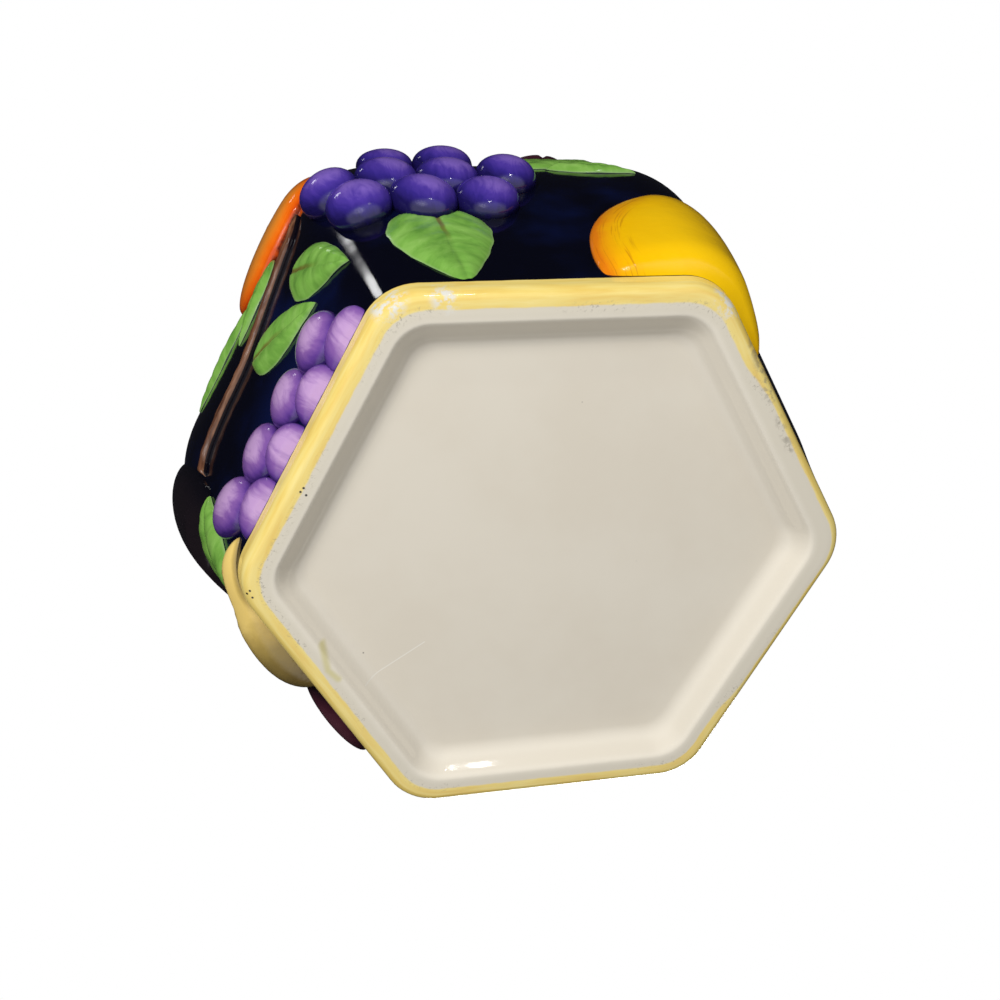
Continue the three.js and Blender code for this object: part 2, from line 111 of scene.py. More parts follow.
# Mesh density.
COLUMNS = 312
KNOB_COLUMNS = 96
SPAN_POINTS = 60
SKIN_POINTS = 600
FRUIT_ROWS, FRUIT_WIDE = 44, 40
GRAPE_ROWS, GRAPE_WIDE = 26, 22
LEAF_ROWS, LEAF_WIDE = 84, 42
VINE_ROWS, VINE_WIDE = 110, 12
OUTLINE_POINTS = 200


def srgb(red, green, blue):
    """A colour as it is seen, 0 to 255, as the linear colour that a shader takes."""
    parts = [value / 255 for value in (red, green, blue)]
    linear = [p / 12.92 if p <= 0.04045 else ((p + 0.055) / 1.055) ** 2.4 for p in parts]
    return (*linear, 1.0)


# Curves


def arc_lengths(points):
    steps = np.linalg.norm(np.diff(points, axis=0), axis=1)
    return np.concatenate([[0.0], np.cumsum(steps)])


def evenly(points, count):
    """The same line with its points at even distances."""
    run = arc_lengths(points)
    even = np.linspace(0, run[-1], count)
    return np.column_stack([np.interp(even, run, column) for column in points.T])


def bezier(controls, count):
    t = np.linspace(0, 1, count)[:, None]
    points = [np.array(control, float) + 0 * t for control in controls]
    while len(points) > 1:
        points = [a + (b - a) * t for a, b in zip(points, points[1:])]
    return points[0]


def smooth_curve(stops, count):
    """A centripetal Catmull-Rom curve through the stops, with its points at even distances."""
    p = np.array(stops, float)
    p = np.vstack([2 * p[0] - p[1], p, 2 * p[-1] - p[-2]])
    t = np.linspace(0, 1, SPAN_POINTS, endpoint=False)[:, None]
    spans = []
    for a, b, c, d in zip(p, p[1:], p[2:], p[3:]):
        before, here, after = (np.linalg.norm(q - r) ** 0.5 for q, r in ((a, b), (b, c), (c, d)))
        leave = here * ((b - a) / before - (c - a) / (before + here) + (c - b) / here)
        arrive = here * ((c - b) / here - (d - b) / (here + after) + (d - c) / after)
        bend = 3 * (c - b) - 2 * leave - arrive
        twist = 2 * (b - c) + leave + arrive
        spans.append(b + leave * t + bend * t**2 + twist * t**3)
    return evenly(np.vstack([*spans, p[-2:-1]]), count)


EASE_LIMIT = 0.45


def rounded(corners, radius, count=5):
    """A line through corners that are eased over a short distance to each side."""
    p = np.array(corners, float)
    parts = [p[:1]]
    for before, corner, after in zip(p, p[1:], p[2:]):
        sides = [end - corner for end in (before, after)]
        near, far = (corner + side * min(radius / np.linalg.norm(side), EASE_LIMIT) for side in sides)
        parts.append(bezier([near, corner, far], count))
    return np.vstack([*parts, p[-1:]])


# The rounded hexagon and what is lofted from it


def corner_radius(apothem):
    grown = FOOT_CORNER + CORNER_GROWTH * (apothem - FOOT_APOTHEM)
    return np.where(apothem < FOOT_APOTHEM, FOOT_CORNER * (apothem / FOOT_APOTHEM) ** CORNER_POWER, grown)


def flat_half(apothem):
    return (apothem - corner_radius(apothem)) * math.tan(HALF_TURN)


def side_half(apothem):
    return flat_half(apothem) + corner_radius(apothem) * HALF_TURN


def hex_place(apothem, turn):
    """Points and outward directions of the hexagon; turn counts sides from the front."""
    side = np.round(turn)
    along = (turn - side) * 2 * side_half(apothem)
    flat = flat_half(apothem)
    radius = corner_radius(apothem)
    past = np.maximum(np.abs(along) - flat, 0)
    bend = np.sign(along) * past / np.maximum(radius, TINY)
    across = np.clip(along, -flat, flat) + radius * np.sin(bend)
    out = apothem - radius + radius * np.cos(bend)
    angle = FRONT + 2 * HALF_TURN * side
    x = out * np.cos(angle) - across * np.sin(angle)
    y = out * np.sin(angle) + across * np.cos(angle)
    return x, y, np.cos(angle + bend), np.sin(angle + bend)


def round_place(radius, turn):
    angle = FRONT + 2 * HALF_TURN * turn
    return radius * np.cos(angle), radius * np.sin(angle), np.cos(angle), np.sin(angle)


class Form:
    """Points and faces of one closed mesh, with what its paint reads at each face corner."""

    def __init__(self):
        self.points = []
        self.faces = []
        self.data = {}
        self.corners = []
        self.count = 0

    def add(self, points, faces, corners, data):
        """Faces index points, and corners, laid out like faces, index the rows of data."""
        shift = sum(len(rows) for rows in self.data.get("edge", []))
        self.points.append(points)
        self.faces += [[i + self.count for i in face] for face in faces]
        self.corners += [i + shift for face in corners for i in face]
        self.count += len(points)
        for name, rows in data.items():
            self.data.setdefault(name, []).append(rows)


def loft(profile, place, columns, closes=False):
    """A solid from (apothem, height) points, from axis to axis, or a ring whose profile closes."""
    inner = profile if closes else profile[1:-1]
    rows = len(inner)
    wide = columns + 1
    turn = np.linspace(0, SIDES, columns, endpoint=False)
    x, y, _, _ = place(inner[:, :1], turn[None, :])
    points = np.stack([x, y, np.broadcast_to(inner[:, 1:], x.shape)], axis=-1).reshape(-1, 3)
    path = arc_lengths(profile)
    data_path = np.repeat(path if closes else path[1:-1], wide)
    data_turn = np.tile(np.linspace(0, SIDES, wide), rows)
    point_of = (np.arange(rows)[:, None] * columns + np.arange(wide) % columns).reshape(-1).tolist()
    corners = []
    for i in range(rows if closes else rows - 1):
        near, far = i * wide, (i + 1) % rows * wide
        corners += [[near + j, near + j + 1, far + j + 1, far + j] for j in range(columns)]
    if not closes:
        low = rows * wide
        top = low - wide
        for j in range(columns):
            corners += [[low, j + 1, j], [top + j, top + j + 1, low + 1]]
        point_of += [len(points), len(points) + 1]
        points = np.vstack([points, [[0, 0, profile[0, 1]], [0, 0, profile[-1, 1]]]])
        data_path = np.concatenate([data_path, path[[0, -1]]])
        data_turn = np.concatenate([data_turn, [0.0, 0.0]])
    faces = [[point_of[i] for i in face] for face in corners]
    form = Form()
    form.add(points, faces, corners, {"edge": data_path, "turn": data_turn})
    return form


class Skin:
    """A decorated wall: turn counts sides from the front, run is the distance up its curve."""

    def __init__(self, stops, lowest):
        self.line = smooth_curve(stops, SKIN_POINTS)
        self.run = arc_lengths(self.line)
        self.slope = np.gradient(self.line, self.run, axis=0)
        self.low = self.run_at(lowest)

    def run_at(self, z):
        return np.interp(z, self.line[:, 1], self.run)

    def width(self, run):
        return 2 * side_half(np.interp(run, self.run, self.line[:, 0]))

    def held(self, run):
        """Runs below the lowest that relief may reach are drawn up to just under it."""
        under = np.minimum(run - self.low, 0)
        return np.where(under < 0, self.low + BAND_TUCK * np.expm1(under / BAND_TUCK), run)

    def points(self, turn, run, lift):
        run = self.held(run)
        apothem, z = (np.interp(run, self.run, values) for values in self.line.T)
        lean, climb = (np.interp(run, self.run, values) for values in self.slope.T)
        x, y, out_x, out_y = hex_place(apothem, turn)
        return np.stack([x + lift * out_x * climb, y + lift * out_y * climb, z - lift * lean], axis=-1)


wall = Skin(WALL_STOPS, BAND_TOP)
crown = Skin(CROWN_STOPS, LID_EDGE_TOP)


class Patch:
    """A place on a skin with its own flat x and y, and the outline that its relief covers."""

    def __init__(self, skin, turn, z, spin=0.0):
        self.skin = skin
        self.turn = turn
        self.start = skin.run_at(z)
        self.cos = math.cos(math.radians(spin))
        self.sin = math.sin(math.radians(spin))

    def onto(self, x, y):
        run = self.start + x * self.sin + y * self.cos
        across = x * self.cos - y * self.sin
        return self.turn + across / self.skin.width(run), run

    def flat(self, turn, run):
        up = run - self.start
        apart = (turn - self.turn + SIDES / 2) % SIDES - SIDES / 2
        across = apart * self.skin.width(run)
        return across * self.cos + up * self.sin, up * self.cos - across * self.sin

    def outline(self, y, half):
        x = np.concatenate([half, -half[::-1]])
        heights = np.concatenate([y, y[::-1]])
        order = np.argsort(np.arctan2(heights, x))
        self.angles = np.arctan2(heights, x)[order]
        self.reach = np.hypot(x, heights)[order]
        return self

    def clearance(self, turn, run):
        """How far a point of the skin is outside the outline, in millimetres, or negative inside it."""
        x, y = self.flat(turn, run)
        reach = np.interp(np.arctan2(y, x), self.angles, self.reach, period=2 * math.pi)
        return np.hypot(x, y) - reach


laid = {wall: [], crown: []}


def smoothstep(value, low, high):
    t = np.clip((value - low) / (high - low), 0, 1)
    return t * t * (3 - 2 * t)


def tucked(skin, turn, run, lift):
    """Lifts that round off towards the band at the foot, and sink under the relief that was laid before."""
    above = np.clip((run - skin.low) / ROUND_OFF, 0, 1)
    kept = np.sqrt(1 - (1 - above) ** 2)
    for patch in laid[skin]:
        kept = kept * smoothstep(patch.clearance(turn, run), 0.0, TUCK)
    return lift * kept - SINK * (1 - kept)


def relief(form, skin, turn, run, lift, flat, edge, seed):
    """Adds a closed low solid with a sunk rim; the first and last rows each meet in one point."""
    rows, wide = lift.shape
    lift[:, [0, -1]] = -SINK
    lift[[0, -1]] = -SINK
    points = skin.points(turn, run, tucked(skin, turn, run, lift))
    body = points[1:-1].reshape(-1, 3)
    low = len(body)
    faces = []
    for i in range(rows - 3):
        for j in range(wide - 1):
            a = i * wide + j
            faces.append([a, a + 1, a + wide + 1, a + wide])
        faces.append([i * wide, (i + 1) * wide, (i + 2) * wide - 1, (i + 1) * wide - 1])
    top = (rows - 3) * wide
    for j in range(wide - 1):
        faces += [[low, j + 1, j], [top + j, top + j + 1, low + 1]]
    faces += [[low, 0, wide - 1], [low + 1, top + wide - 1, top]]
    ends = [0, -1]
    gather = lambda grid: np.concatenate([grid[1:-1].reshape(-1), grid[ends, 0]])
    data = {
        "edge": gather(edge),
        "across": gather(flat[0]),
        "along": gather(np.broadcast_to(flat[1], lift.shape)),
        "seed": np.full(low + 2, seed),
    }
    form.add(np.vstack([body, points[ends, 0]]), faces, faces, data)


# Painted materials


class Nodes:
    """A node tree, with a short method for each kind of node."""

    def __init__(self, owner):
        owner.use_nodes = True
        self.tree = owner.node_tree

    def feed(self, socket, value):
        if isinstance(value, bpy.types.NodeSocket):
            self.tree.links.new(value, socket)
        else:
            socket.default_value = value

    def node(self, kind, inputs, **settings):
        made = self.tree.nodes.new(kind)
        for key, value in settings.items():
            setattr(made, key, value)
        for key, value in inputs.items():
            self.feed(made.inputs[key], value)
        return made

    def value(self, name):
        return self.node("ShaderNodeAttribute", {}, attribute_name=name).outputs["Fac"]

    def place(self):
        return self.node("ShaderNodeTexCoord", {}).outputs["Object"]

    def axis(self, name):
        return self.node("ShaderNodeSeparateXYZ", {0: self.place()}).outputs[name]

    def math(self, operation, a, b=0.0):
        return self.node("ShaderNodeMath", {0: a, 1: b}, operation=operation).outputs[0]

    def times(self, a, b):
        return self.math("MULTIPLY", a, b)

    def plus(self, a, b):
        return self.math("ADD", a, b)

    def minus(self, a, b):
        return self.math("SUBTRACT", a, b)

    def most(self, a, b):
        return self.math("MAXIMUM", a, b)

    def vector_math(self, operation, a, b):
        return self.node("ShaderNodeVectorMath", {0: a, 1: b}, operation=operation).outputs

    def vector(self, x, y, z):
        return self.node("ShaderNodeCombineXYZ", {0: x, 1: y, 2: z}).outputs[0]

    def stretched(self, *pairs):
        """A place in a noise, from three values that each have a scale."""
        return self.vector(*(self.times(value, scale) for value, scale in pairs))

    def noise(self, vector, scale, detail=3.0, roughness=0.5, distortion=0.0):
        inputs = dict(Vector=vector, Scale=scale, Detail=detail, Roughness=roughness, Distortion=distortion)
        return self.node("ShaderNodeTexNoise", inputs).outputs["Fac"]

    def cells(self, vector, scale):
        return self.node("ShaderNodeTexVoronoi", {"Vector": vector, "Scale": scale}).outputs["Distance"]

    def shifted(self, value, drift, reach):
        """A value that a noise moves by up to half of a reach to either side."""
        return self.plus(value, self.times(self.minus(drift, 0.5), reach))

    def gloss(self, scale, spread, least):
        """A roughness that varies over the glaze."""
        return self.plus(self.times(self.noise(self.place(), scale, 3.0), spread), least)

    def step(self, value, low, high):
        inputs = {"Value": value, "From Min": low, "From Max": high}
        return self.node("ShaderNodeMapRange", inputs, interpolation_type="SMOOTHSTEP").outputs[0]

    def within(self, spot, place, reach, soft):
        """One within reach of a spot, and zero past its soft edge."""
        away = self.vector_math("DISTANCE", place, spot)["Value"]
        return self.step(away, reach + soft, reach - soft)

    def along_line(self, stops, place, reach, soft):
        """One within reach of a line through (x, y) stops, and zero past its soft edge."""
        found = 0.0
        for start, end in zip(stops, stops[1:]):
            span = Vector((*end, 0)) - Vector((*start, 0))
            off = self.vector_math("SUBTRACT", place, (*start, 0))[0]
            share = self.vector_math("DOT_PRODUCT", off, span / span.length_squared)["Value"]
            share = self.node("ShaderNodeClamp", {0: share}).outputs[0]
            near = self.node("ShaderNodeVectorMath", {0: span, 3: share}, operation="SCALE").outputs[0]
            found = self.most(found, self.within(near, off, reach, soft))
        return found

    def mix(self, share, a, b):
        return self.node("ShaderNodeMix", {0: share, 6: a, 7: b}, data_type="RGBA").outputs[2]

    def ramp(self, value, stops):
        made = self.node("ShaderNodeValToRGB", {"Fac": value})
        elements = made.color_ramp.elements
        while len(elements) < len(stops):
            elements.new(0.5)
        for element, (position, colour) in zip(elements, stops):
            element.position = position
            element.color = colour
        return made.outputs["Color"]


class Paint(Nodes):
    """One material."""

    def __init__(self, name):
        self.material = bpy.data.materials.new(name)
        super().__init__(self.material)
        self.shader = self.tree.nodes["Principled BSDF"]

    def shade(self, values):
        for name, value in values.items():
            self.feed(self.shader.inputs[name], value)

    def finish(self, colour, roughness, height, depth):
        """Sets the shader's colour and roughness, and a bump that is depth millimetres deep."""
        bump = self.node("ShaderNodeBump", {"Height": height, "Distance": depth * MM})
        self.shade({"Base Color": colour, "Roughness": roughness, "Normal": bump.outputs["Normal"]})
        return self.material


NAVY = srgb(5, 6, 18)
COBALT = srgb(12, 26, 78)
CREAM = srgb(226, 218, 202)
CREAM_WARM = srgb(222, 213, 196)
CREAM_INSIDE = srgb(226, 219, 203)
CREAM_POOLED = srgb(235, 227, 211)
BARE = srgb(222, 214, 196)
GRIME = srgb(138, 131, 116)
SPECK = srgb(40, 36, 34)
YELLOW = srgb(242, 216, 124)
YELLOW_DEEP = srgb(237, 204, 108)
YELLOW_PALE = srgb(246, 225, 142)
SMEAR = srgb(208, 198, 132)
PALE_PATCH_COLOUR = srgb(226, 224, 216)
SCRATCH = srgb(240, 236, 226)

# Under the foot: marks of use as lines of (x, y) places with a reach to each side, and pale patches as spots
# with theirs.
RUBS = [([(43.3, -47.8), (47.8, -36.6)], 1.6), ([(50.2, -31.0), (53.4, -23.7)], 0.8)]
SCRATCHES = [([(-43.6, 28.7), (-29.5, 20.0)], 0.12)]
SMEARS = [([(-52.6, 15.9), (-51.7, 22.1), (-49.6, 24.5)], 0.7)]
# Pale patches with crumbly edges on the front of the foot.
PALE_PATCHES = [((-35.2, -59.6), 4.0), ((37.5, -57.5), 4.0), ((-23.4, -59.3), 2.5)]
SPECKS = [(-54.0, -20.9), (-67.0, 1.7)]
SPECK_OFFSETS = [(-0.5, 0.2), (0.6, 1.0), (0.2, -0.6)]

# To the right, between two places in metres, the brushed band starts later and ends higher, in millimetres.
BAND_CLIMB = (0.040, 0.048)
BAND_LATER = 1.7
BAND_HIGHER = 4.0

# Cobalt round each bunch: its reach and the softness of its edge, in metres.
BUNCH_GLOW = (0.02, 0.012)


def navy_colour(paint, glow=0.0):
    """Deep navy that drifts to cobalt, and does so most where glow is one."""
    drift = paint.noise(paint.place(), 34.0, 3.0, 0.55)
    share = paint.times(paint.step(drift, 0.5, 0.8), 0.5)
    return paint.mix(paint.most(share, paint.times(glow, 0.6)), NAVY, COBALT)


STROKES_PER_METRE = 70.0


def round_jar(paint, height):
    """A place in a noise whose cells are drawn out round the jar, with no seam."""
    x, y = (paint.times(paint.axis(name), STROKES_PER_METRE) for name in ("X", "Y"))
    return paint.vector(x, y, height)


def yellow_colour(paint, path):
    """Brushed yellow: streaks that run round the jar, thin and pale where the brush lifted."""
    strokes = round_jar(paint, paint.times(path, 0.7))
    streak = paint.noise(strokes, 1.0, 3.0, 0.55, 0.2)
    return paint.ramp(streak, [(0.32, YELLOW_DEEP), (0.5, YELLOW), (0.7, YELLOW_PALE)])


def zoned(paint, path, first, zones):
    """Colours by distance along the profile; each edge between them wanders as a brushed edge does."""
    colour = first
    for start, wander, soft, zone in zones:
        drift = paint.noise(round_jar(paint, start), 3.0, 4.0, 0.6)
        moved = paint.shifted(path, drift, wander)
        colour = paint.mix(paint.step(moved, start - soft, start + soft), colour, zone)
    return colour


def clouded(paint, tone):
    """A cream glaze that drifts to a warmer one."""
    cloud = paint.noise(paint.place(), 26.0, 4.0, 0.6)
    return paint.mix(paint.step(cloud, 0.35, 0.7), tone, CREAM_WARM)


def jar_paint(starts, bunches):
    paint = Paint("jar_glaze")
    path = paint.value("edge")
    place = paint.place()
    cream = clouded(paint, CREAM)
    fine = paint.noise(place, 1500.0, 2.0)
    pits = paint.step(paint.cells(place, 190.0), 0.05, 0.02)
    sparse = paint.step(paint.noise(place, 90.0, 2.0), 0.62, 0.66)
    cream = paint.mix(paint.times(paint.times(pits, sparse), 0.7), cream, SPECK)

    # Grime in short ticks across the standing ring, along the edge of the yellow.
    ticks = paint.vector(paint.times(paint.value("turn"), 60.0), paint.times(path, 0.8), 0.0)
    rub = paint.noise(ticks, 1.4, 5.0, 0.7, 0.8)
    where = paint.noise(place, 38.0, 2.0)
    yellow_from = starts["foot"] - BAND_ON_RING
    climb = paint.step(paint.axis("X"), *BAND_CLIMB)
    later, higher = (paint.minus(path, paint.times(climb, shift)) for shift in (BAND_LATER, BAND_HIGHER))
    below_band = paint.step(later, yellow_from - 2.0, yellow_from - 0.4)
    on_ring = paint.times(below_band, paint.step(later, yellow_from + 1.3, yellow_from - 0.1))
    worn = paint.times(paint.step(rub, 0.54, 0.66), paint.step(where, 0.44, 0.6))
    grime = paint.times(paint.times(worn, on_ring), 0.7)

    yellow = yellow_colour(paint, path)
    glow = 0.0
    for bunch in bunches:
        glow = paint.most(glow, paint.within(bunch, place, *BUNCH_GLOW))
    navy = navy_colour(paint, glow)
    colour = zoned(paint, path, cream, [
        (starts["cove"] + 2.0, 0.6, 2.0, CREAM_POOLED),
        (starts["ring"], 1.0, 1.2, BARE),
    ])
    colour = zoned(paint, later, colour, [(yellow_from, 0.8, 0.25, yellow)])
    colour = zoned(paint, higher, colour, [(starts["wall"] + starts["band"], 0.5, 0.12, navy)])
    colour = zoned(paint, path, colour, [
        (starts["rim"] + 1.0, 0.6, 0.2, yellow),
        (starts["inside"], 1.2, 0.4, CREAM_INSIDE),
    ])
    colour = paint.mix(grime, colour, GRIME)

    # Marks of use and pale patches, on the foot and under it only.
    under = paint.step(path, starts["wall"] + 1.0, starts["wall"])
    flat = paint.vector_math("MULTIPLY", place, (1 / MM, 1 / MM, 0))[0]
    crumbs = paint.step(paint.noise(place, 520.0, 4.0, 0.65), 0.44, 0.6)
    dusty = paint.times(crumbs, 0.6)
    marks = [(SMEARS, 0.6, SMEAR, 0.7), (SCRATCHES, 0.1, SCRATCH, 0.7), (RUBS, 1.0, GRIME, dusty)]
    for lines, soft, tint, strength in marks:
        for stops, reach in lines:
            mark = paint.times(paint.along_line(stops, flat, reach, soft), strength)
            colour = paint.mix(paint.times(mark, under), colour, tint)
    for (x, y), reach in PALE_PATCHES:
        pale_patch = paint.times(paint.within((x, y, 0), flat, reach, 1.5), crumbs)
        colour = paint.mix(paint.times(pale_patch, under), colour, PALE_PATCH_COLOUR)
    for x, y in SPECKS:
        for aside, up in SPECK_OFFSETS:
            speck = paint.within((x + aside, y + up, 0), flat, 0.26, 0.1)
            colour = paint.mix(paint.times(speck, under), colour, SPECK)

    past_foot = paint.step(path, starts["foot"] - 1.0, starts["foot"] + 2.0)
    roughness = paint.gloss(140.0, 0.04, paint.plus(0.045, paint.times(past_foot, 0.015)))
    ripple = paint.plus(paint.noise(place, 55.0, 2.0), paint.times(fine, 0.02))
    return paint.finish(colour, roughness, ripple, 0.08)


def lid_paint(starts):
    paint = Paint("lid_glaze")
    path = paint.value("edge")
    colour = zoned(paint, path, clouded(paint, CREAM_INSIDE), [
        (starts["edge"] + 1.0, 1.0, 0.3, yellow_colour(paint, path)),
        (starts["crown"] - 1.0, 0.6, 0.15, navy_colour(paint)),
        (starts["seat"] - 2.0, 0.8, 0.2, yellow_colour(paint, path)),
    ])
    ripple = paint.noise(paint.place(), 55.0, 2.0)
    return paint.finish(colour, paint.gloss(140.0, 0.1, 0.06), ripple, 0.25)


def brushed(paint, stretch, seed_step):
    """Brush marks on a relief: noise drawn out along it, different on each piece."""
    scales = dict(across=stretch[0], along=stretch[1], seed=seed_step)
    return paint.stretched(*((paint.value(name), scale) for name, scale in scales.items()))


def fruit_paint(name, stops, rim, lines, bleed=0.12, lean=(0.0, 0.0), marks=(0.09, 0.05), strength=0.5):
    """A painted fruit: tones from the rim to the middle, contour strokes near the rim, a dark bleed at it.

    Lean lightens the fruit for each millimetre to its right and up, and moves the strokes the other way.
    """
    paint = Paint(name)
    edge = paint.value("edge")
    aside = paint.times(paint.value("across"), lean[0])
    tilt = paint.plus(aside, paint.times(paint.value("along"), lean[1]))
    brush = brushed(paint, marks, 3.7)
    wash = paint.noise(brush, 1.0, 4.0, 0.6, 0.8)
    colour = paint.ramp(paint.plus(paint.shifted(edge, wash, 0.5), tilt), stops)
    contour = paint.stretched((edge, 22.0), (paint.value("along"), 0.05), (paint.value("seed"), 5.3))
    hair = paint.noise(contour, 1.3, 3.0, 0.6, 0.5)
    near_rim = paint.step(paint.plus(edge, paint.times(tilt, 2.0)), 0.5, 0.2)
    stroke = paint.times(paint.step(hair, 0.56, 0.68), near_rim)
    colour = paint.mix(paint.times(stroke, strength), colour, lines)
    rough_rim = paint.plus(edge, paint.times(paint.noise(brush, 9.0, 2.0), 0.1))
    colour = paint.mix(paint.step(rough_rim, bleed + 0.07, bleed - 0.04), colour, rim)
    place = paint.place()
    pores = paint.times(paint.noise(place, 600.0), 0.15)
    peel = paint.plus(paint.noise(place, 90.0, 2.0), pores)
    return paint.finish(colour, paint.gloss(160.0, 0.08, 0.07), peel, 0.2)


VEIN_SLANT = 0.75


def leaf_paint():
    paint = Paint("leaf_glaze")
    edge = paint.value("edge")
    across = paint.value("across")
    along = paint.value("along")
    beside = paint.math("ABSOLUTE", across)
    slant = paint.minus(along, paint.times(beside, VEIN_SLANT))
    streaks = paint.stretched((slant, 0.2), (across, 0.14), (paint.value("seed"), 4.1))
    wash = paint.noise(streaks, 1.0, 4.0, 0.6, 0.5)
    colour = paint.ramp(wash, LEAF)
    up_leaf = paint.vector(paint.times(along, 0.12), paint.value("seed"), 0.0)
    wander = paint.noise(up_leaf, 1.0, 2.0)
    rib = paint.math("ABSOLUTE", paint.shifted(across, wander, -1.6))
    toward_stalk = paint.step(along, 4.0, -10.0)
    rib_mark = paint.times(paint.step(rib, 0.9, 0.2), toward_stalk)
    colour = paint.mix(paint.times(rib_mark, 0.8), colour, srgb(108, 84, 36))
    # A pale bluish rim along the leaf's raised edge: painted sheen.
    rim_sheen = paint.step(edge, 0.36, 0.16)
    colour = paint.mix(paint.times(rim_sheen, 0.5), colour, srgb(152, 182, 122))
    colour = paint.mix(paint.step(edge, 0.1, 0.03), colour, srgb(30, 52, 34))
    ripple = paint.noise(paint.place(), 160.0, 2.0)
    return paint.finish(colour, paint.gloss(160.0, 0.12, 0.12), ripple, 0.12)


def vine_paint():
    paint = Paint("vine_glaze")
    marks = brushed(paint, (0.9, 0.05), 2.3)
    grain = paint.noise(marks, 1.0, 4.0, 0.65, 0.4)
    colour = paint.ramp(grain, VINE)
    colour = paint.mix(paint.step(paint.value("edge"), 0.3, 0.08), colour, srgb(24, 18, 24))
    return paint.finish(colour, 0.16, grain, 0.3)


def knob_paint():
    paint = Paint("knob_glaze")
    colour = yellow_colour(paint, paint.value("edge"))
    ripple = paint.noise(paint.place(), 80.0, 2.0)
    return paint.finish(colour, paint.gloss(150.0, 0.1, 0.07), ripple, 0.25)


def seal_paint():
    paint = Paint("silicone")
    dust = paint.noise(paint.place(), 240.0, 5.0, 0.65)
    colour = paint.mix(paint.step(dust, 0.5, 0.8), srgb(232, 230, 222), srgb(206, 202, 190))
    paint.shade({"Subsurface Weight": 0.15, "Subsurface Scale": 1.5 * MM})
    return paint.finish(colour, paint.plus(paint.times(dust, 0.2), 0.45), dust, 0.05)


def tones(*stops):
    """Stops of a ramp from (position, red, green, blue), with colours as they are seen."""
    return [(position, srgb(*colour)) for position, *colour in stops]


LEMON = tones((0.0, 232, 128, 16), (0.3, 246, 172, 8), (0.55, 251, 194, 4), (0.9, 253, 202, 14))
ORANGE = tones((0.1, 228, 84, 8), (0.36, 248, 118, 20), (0.62, 253, 146, 40), (0.9, 255, 170, 70))
# The pear's dark olive-brown tones are partly its own painted colour and partly painted shade.
PEAR = tones((0.1, 108, 90, 50), (0.55, 148, 126, 68), (0.85, 200, 171, 94), (1.0, 242, 210, 122))
PLUM = tones((0.12, 24, 14, 20), (0.4, 44, 20, 30), (0.66, 66, 30, 42), (0.92, 92, 50, 62))
PLUM_DARK = tones((0.1, 8, 8, 16), (0.5, 16, 14, 20), (0.9, 30, 24, 28))
GRAPE = tones((0.2, 50, 30, 98), (0.5, 98, 62, 144), (0.78, 136, 94, 166), (1.0, 194, 156, 206))
# A darker, bluer copy of the grape tones: painted shade for the undersides of the front bunch.
GRAPE_SHADED = tones((0.2, 26, 20, 78), (0.55, 52, 38, 128), (0.8, 78, 56, 156), (1.0, 124, 96, 188))
LEAF = tones((0.28, 96, 148, 58), (0.5, 122, 174, 74), (0.74, 144, 192, 94))
VINE = tones((0.3, 52, 32, 26), (0.5, 108, 70, 50), (0.7, 156, 112, 82))
# Its lean paints each grape lighter to its right and darker to its left: painted shade.
GRAPE_LOOK = dict(bleed=0.08, lean=(0.03, 0.0), marks=(0.4, 0.14))

# Tones, rim, contour strokes, and what else a fruit's paint has of its own.
FRUIT_PAINTS = {
    "lemon": (LEMON, (150, 74, 10), (170, 84, 14), dict(bleed=0.05, lean=(0.012, 0.0))),
    "orange": (ORANGE, (96, 30, 8), (206, 66, 4), dict(bleed=0.06)),
    # The pear's lean darkens it towards its fat end: partly its painted colour, partly painted shade.
    "pear": (PEAR, (84, 68, 36), (150, 124, 66), dict(bleed=0.05, lean=(0.0, 0.03), strength=0.2)),
    "plum": (PLUM, (10, 8, 14), (34, 14, 24), {}),
    "plum_dark": (PLUM_DARK, (6, 7, 16), (12, 10, 16), {}),
    "grape": (GRAPE, (30, 22, 76), (84, 50, 130), GRAPE_LOOK),
    "grape_shaded": (GRAPE_SHADED, (16, 14, 52), (44, 32, 104), GRAPE_LOOK),
}
PAINTS = {
    kind: fruit_paint(kind + "_glaze", stops, srgb(*rim), srgb(*lines), **look)
    for kind, (stops, rim, lines, look) in FRUIT_PAINTS.items()
}
PAINTS.update(leaf=leaf_paint(), vine=vine_paint())


# Pieces


def add_object(name, data):
    made = bpy.data.objects.new(name, data)
    bpy.context.scene.collection.objects.link(made)
    return made


def add_piece(node, form, material):
    mesh = bpy.data.meshes.new(node + "_glazed")
    points = np.vstack(form.points) * MM
    mesh.from_pydata(points.tolist(), [], form.faces)
    mesh.polygons.foreach_set("use_smooth", [True] * len(mesh.polygons))
    for name, parts in form.data.items():
        rows = np.concatenate(parts)[form.corners]
        attribute = mesh.attributes.new(name, "FLOAT", "CORNER")
        attribute.data.foreach_set("value", rows.astype(np.float32))
    mesh.materials.append(material)
    piece = add_object(node + "_glazed", mesh)
    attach(piece, "lid" if node.startswith("lid") else "jar")
    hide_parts(node)
    return piece


class Profile:
    """Named stretches of a profile, and the distance along it at which each starts."""

    def __init__(self, start):
        self.points = np.array([start], float)
        self.starts = {}

    def add(self, name, draw, stops, detail):
        """Goes on from the end so far through the stops; detail is a count of points, or an ease."""
        self.starts[name] = arc_lengths(self.points)[-1]
        stretch = draw([self.points[-1], *stops], detail)
        self.points = np.vstack([self.points, stretch[1:]])


def straight(ends, count):
    return np.linspace(*ends, count)


